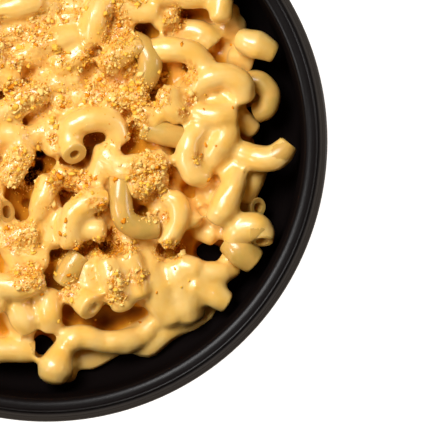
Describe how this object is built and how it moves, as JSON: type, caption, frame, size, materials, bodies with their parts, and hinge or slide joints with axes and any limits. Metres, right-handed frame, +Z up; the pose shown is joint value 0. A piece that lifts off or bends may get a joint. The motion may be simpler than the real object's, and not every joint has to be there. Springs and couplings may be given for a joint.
{
  "type": "macaroni and cheese in a bowl",
  "caption": "Round black plastic take-out bowl filled with elbow macaroni in smooth cheese sauce, strewn with toasted crumbs.",
  "frame": {"origin": "the middle of the bowl's foot, on the surface that it stands on", "axes": "+Z up, out of the bowl's mouth; +X to the right and +Y away when the bowl is seen from above"},
  "size_m": [0.184, 0.184, 0.04],
  "materials": {
    "bowl_plastic": "satin black moulded polypropylene",
    "cheese_sauce": "smooth glossy cheese sauce over cooked pasta",
    "pasta": "moist cooked pasta, slightly glossy",
    "toasted_crumbs": "dry, coarse, toasted bread crumbs"
  },
  "bodies": {
    "root": {"bowl": "bowl_plastic", "macaroni_heap": "cheese_sauce"}
  },
  "joints": []
}
